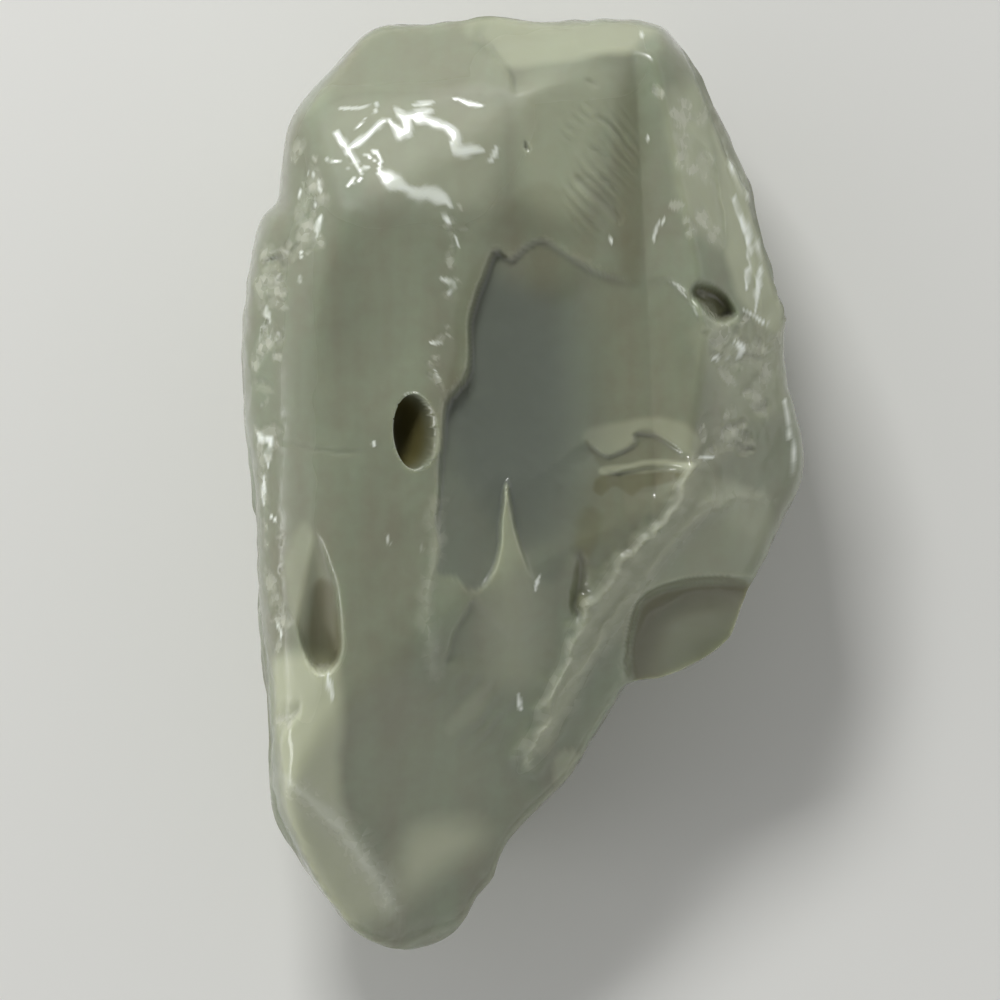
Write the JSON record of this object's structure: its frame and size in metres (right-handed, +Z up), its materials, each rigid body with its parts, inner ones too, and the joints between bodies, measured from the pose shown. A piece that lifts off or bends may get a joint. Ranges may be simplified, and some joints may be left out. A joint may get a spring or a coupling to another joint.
{
  "type": "glass cullet",
  "caption": "Lump of opaque milky grey-green waste glass, with conchoidal breaks, a hollowed front and open gas bubbles, lying on its broadest flat break.",
  "frame": {"origin": "on the resting plane, under the middle of the lump's box", "axes": "+Z up from the flat break that the lump lies on, +Y along its length towards the broad end, +X to the right when it is seen from above with the broad end at the top"},
  "size_m": [0.066, 0.1096, 0.0427],
  "materials": {
    "milky_glass": "glossy broken glass, opaque and milky"
  },
  "bodies": {
    "root": {"cullet": "milky_glass"}
  },
  "joints": []
}
